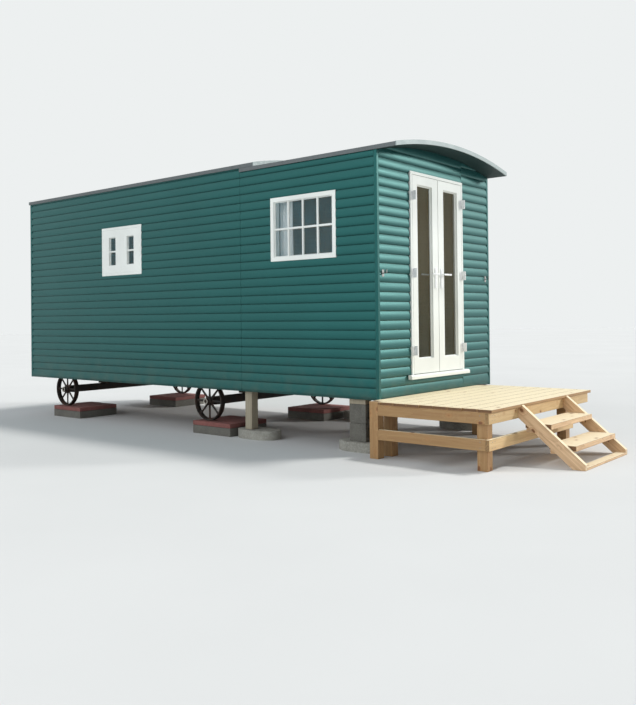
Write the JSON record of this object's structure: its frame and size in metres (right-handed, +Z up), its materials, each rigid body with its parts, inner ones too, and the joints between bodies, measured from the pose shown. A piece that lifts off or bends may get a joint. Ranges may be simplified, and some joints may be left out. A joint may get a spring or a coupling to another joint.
{
  "type": "shepherd's hut with deck and steps",
  "caption": "Green timber-clad shepherd's hut on iron wheels, arched roof in two levels, glazed double doors opening to a low timber deck with steps.",
  "frame": {"origin": "middle of the whole footprint, on the floor it stands on", "axes": "+X along the hut towards the double doors, +Y away from the wall with windows, +Z up"},
  "size_m": [7.9752, 2.468, 3.1598],
  "materials": {
    "cladding": "deep teal-green satin paint on log-lap boards",
    "joinery": "white satin paint on timber",
    "glass": "clear",
    "roof_covering": "dark grey mineral sheet",
    "roof_trim": "dull grey folded metal",
    "bright_trim": "bright mill-finish strip",
    "inner_timber": "brown stained softwood",
    "white_metal": "white enamelled metal",
    "steel": "zinc-plated steel",
    "curtain_cloth": "pale grey linen weave",
    "iron": "weathered dark iron with light rust",
    "red_paving": "pressed red paving",
    "concrete": "grey concrete",
    "old_timber": "weathered grey-brown softwood",
    "deck_timber": "fresh planed softwood with knots"
  },
  "bodies": {
    "hut": {"axles": "iron", "bearers": "inner_timber", "bolsters": "inner_timber", "corner_beads": "cladding", "curtain": "curtain_cloth", "curtain_rail": "steel", "deck_boards": "deck_timber", "deck_end_rims": "deck_timber", "deck_joists": "deck_timber", "deck_posts": "deck_timber", "deck_rails": "deck_timber", "door_cill": "joinery", "door_end_piers": "concrete", "door_head": "joinery", "door_hinge_seats": "white_metal", "door_hooks": "steel", "door_jambs": "joinery", "door_wall_far": "cladding", "door_wall_near": "cladding", "door_wall_over": "cladding", "door_wall_under": "cladding", "eaves_trims": "roof_trim", "far_wall_front": "cladding", "far_wall_rear": "cladding", "floor_boards": "inner_timber", "floor_joists": "inner_timber", "foot_board": "deck_timber", "front_bearers": "inner_timber", "near_wall_front": "cladding", "near_wall_rear": "cladding", "prop_pads": "concrete", "prop_timbers": "old_timber", "rear_wall": "cladding", "roof_end_strips": "bright_trim", "roof_front": "roof_covering", "roof_rear": "roof_covering", "slab_bases": "concrete", "small_window_casements": "joinery", "step_stringers": "deck_timber", "step_treads": "deck_timber", "tread_cleats": "deck_timber", "wheel_slabs": "red_paving", "window_frames": "joinery", "window_glass": "glass"},
    "near_door": {"near_door_leaf": "joinery", "near_door_glass": "glass", "near_door_hinges": "white_metal", "near_door_handle": "white_metal"},
    "far_door": {"far_door_leaf": "joinery", "far_door_glass": "glass", "far_door_hinges": "white_metal", "far_door_handle": "white_metal"},
    "rear_wheel_near": {"rear_wheel_near": "iron"},
    "rear_wheel_far": {"rear_wheel_far": "iron"},
    "front_wheel_near": {"front_wheel_near": "iron"},
    "front_wheel_far": {"front_wheel_far": "iron"}
  },
  "joints": [
    {"name": "near_door_swing", "type": "hinge", "parent": "hut", "child": "near_door", "pos_m": [2.18035, -0.4365, 1.7605], "axis": [0, 0, -1], "range_deg": [0, 175]},
    {"name": "far_door_swing", "type": "hinge", "parent": "hut", "child": "far_door", "pos_m": [2.18035, 0.5585, 1.7605], "axis": [0, 0, 1], "range_deg": [0, 175]},
    {"name": "rear_wheel_near_spin", "type": "hinge", "parent": "hut", "child": "rear_wheel_near", "pos_m": [-3.21165, -0.948, 0.372], "axis": [0, 1, 0], "continuous": true},
    {"name": "rear_wheel_far_spin", "type": "hinge", "parent": "hut", "child": "rear_wheel_far", "pos_m": [-3.21165, 1.126, 0.372], "axis": [0, 1, 0], "continuous": true},
    {"name": "front_wheel_near_spin", "type": "hinge", "parent": "hut", "child": "front_wheel_near", "pos_m": [-0.34165, -0.948, 0.372], "axis": [0, 1, 0], "continuous": true},
    {"name": "front_wheel_far_spin", "type": "hinge", "parent": "hut", "child": "front_wheel_far", "pos_m": [-0.34165, 1.126, 0.372], "axis": [0, 1, 0], "continuous": true}
  ]
}
